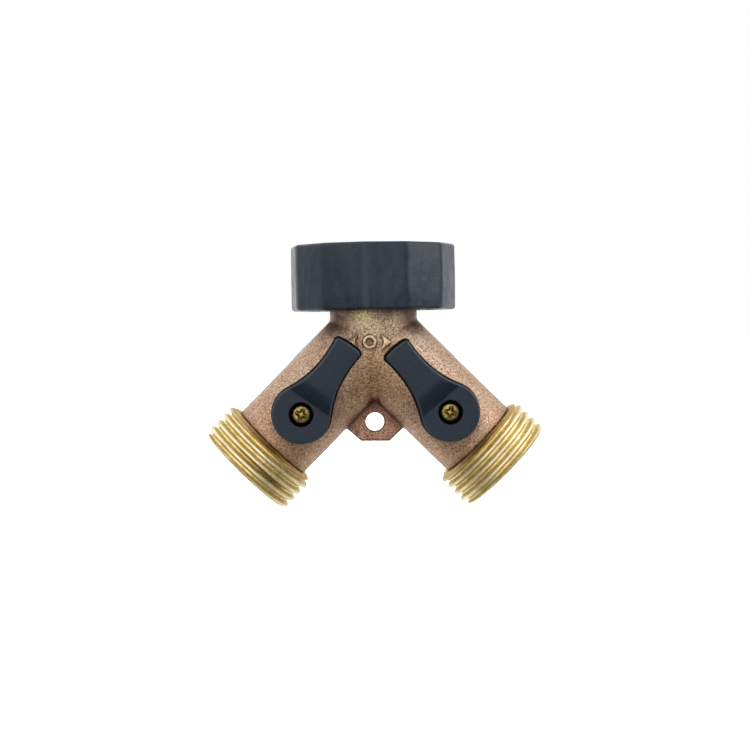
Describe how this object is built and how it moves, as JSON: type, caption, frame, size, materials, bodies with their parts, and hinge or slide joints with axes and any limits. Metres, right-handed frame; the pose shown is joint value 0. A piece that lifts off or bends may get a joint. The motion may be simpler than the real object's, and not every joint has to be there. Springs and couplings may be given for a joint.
{
  "type": "hose splitter",
  "caption": "Two-way hose splitter: swivel collar on a cast Y body, with a quarter-turn lever valve and a male hose thread on each branch.",
  "frame": {"origin": "centre of the inlet mouth, on the top face of the swivel collar and on the inlet thread's axis", "axes": "+Z out of the inlet, the way the tap leaves; +X across the two outlets; -Y is the lever side"},
  "size_m": [0.082, 0.0411, 0.0643],
  "materials": {
    "cast_brass": "sand cast, tumbled",
    "machined_brass": "turned",
    "screw_brass": "yellow plated",
    "collar_plastic": "moulded satin",
    "lever_plastic": "moulded satin",
    "seat_plastic": "low-friction white plastic",
    "rubber": "black rubber",
    "steel": "spring steel",
    "ball_plating": "plated and polished"
  },
  "bodies": {
    "swivel": {"swivel_collar": "collar_plastic", "swivel_insert": "machined_brass", "hose_washer": "rubber"},
    "body": {"body_casting": "cast_brass", "swivel_snap_ring": "steel", "outlet_nipple_left": "machined_brass", "outlet_nipple_right": "machined_brass", "seat_upstream_left": "seat_plastic", "seat_upstream_right": "seat_plastic", "seat_downstream_left": "seat_plastic", "seat_downstream_right": "seat_plastic"},
    "valve_left": {"lever_left": "lever_plastic", "lever_screw_left": "screw_brass", "valve_stem_left": "machined_brass", "stem_o_ring_left": "rubber", "valve_ball_left": "ball_plating"},
    "valve_right": {"lever_right": "lever_plastic", "lever_screw_right": "screw_brass", "valve_stem_right": "machined_brass", "stem_o_ring_right": "rubber", "valve_ball_right": "ball_plating"}
  },
  "joints": [
    {"name": "swivel_spin", "type": "hinge", "parent": "swivel", "child": "body", "pos_m": [0, 0, 0], "axis": [0, 0, 1], "continuous": true},
    {"name": "lever_left_turn", "type": "hinge", "parent": "body", "child": "valve_left", "pos_m": [-0.01796, 0, -0.04126], "axis": [0, -1, 0], "range_deg": [-9.5, 80.5]},
    {"name": "lever_right_turn", "type": "hinge", "parent": "body", "child": "valve_right", "pos_m": [0.01796, 0, -0.04126], "axis": [0, 1, 0], "range_deg": [-5, 85]}
  ]
}
